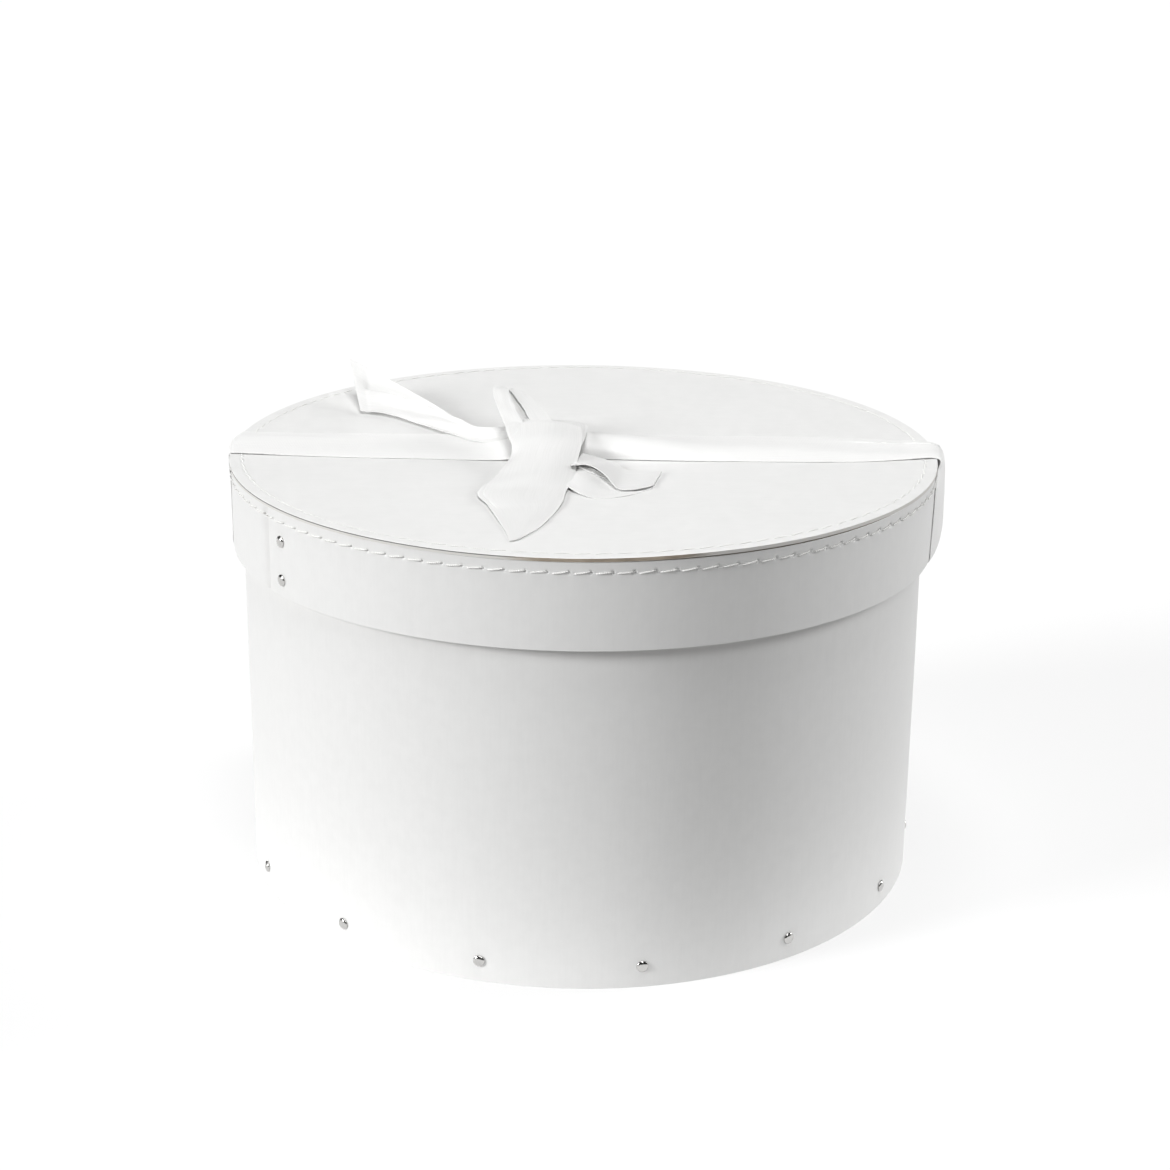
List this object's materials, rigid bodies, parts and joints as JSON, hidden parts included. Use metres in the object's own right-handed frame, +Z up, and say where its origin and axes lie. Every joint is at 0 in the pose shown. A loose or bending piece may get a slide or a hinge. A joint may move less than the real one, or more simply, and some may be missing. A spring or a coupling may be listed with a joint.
{
  "type": "hat box",
  "caption": "Round board hat box: a rolled, riveted drum with a flat base and a stitched lift-off lid with a ribbon tied in a bow across it.",
  "frame": {"origin": "centre of the box's underside, on the box's axis", "axes": "+Z up along the box's axis; -Y is the front, with the lid band's riveted lap at the front left; +X to the right, along the ribbon"},
  "size_m": [0.4092, 0.4012, 0.269],
  "materials": {
    "board": "white coated solid board, matt-satin, with a grey-brown core at its cut edges",
    "rivet": "bright nickel-plated steel, domed",
    "thread": "white twisted polyester thread",
    "ribbon": "white satin ribbon"
  },
  "bodies": {
    "box": {"box_wall": "board", "base_board": "board", "base_rivets": "rivet", "base_rivet_caps": "rivet", "wall_rivets": "rivet", "wall_rivet_caps": "rivet"},
    "lid": {"lid_top": "board", "lid_band": "board", "band_rivets": "rivet", "band_rivet_caps": "rivet", "lid_side_stitches": "thread", "lid_top_stitches": "thread", "ribbon_left": "ribbon", "ribbon_right": "ribbon", "ribbon_knot": "ribbon", "ribbon_tail_back": "ribbon", "ribbon_tail_front": "ribbon", "ribbon_loop_back": "ribbon", "ribbon_loop_front": "ribbon"}
  },
  "joints": [
    {"name": "lid_lift", "type": "slide", "parent": "box", "child": "lid", "axis": [0, 0, 1], "range_m": [0, 0.15]}
  ]
}
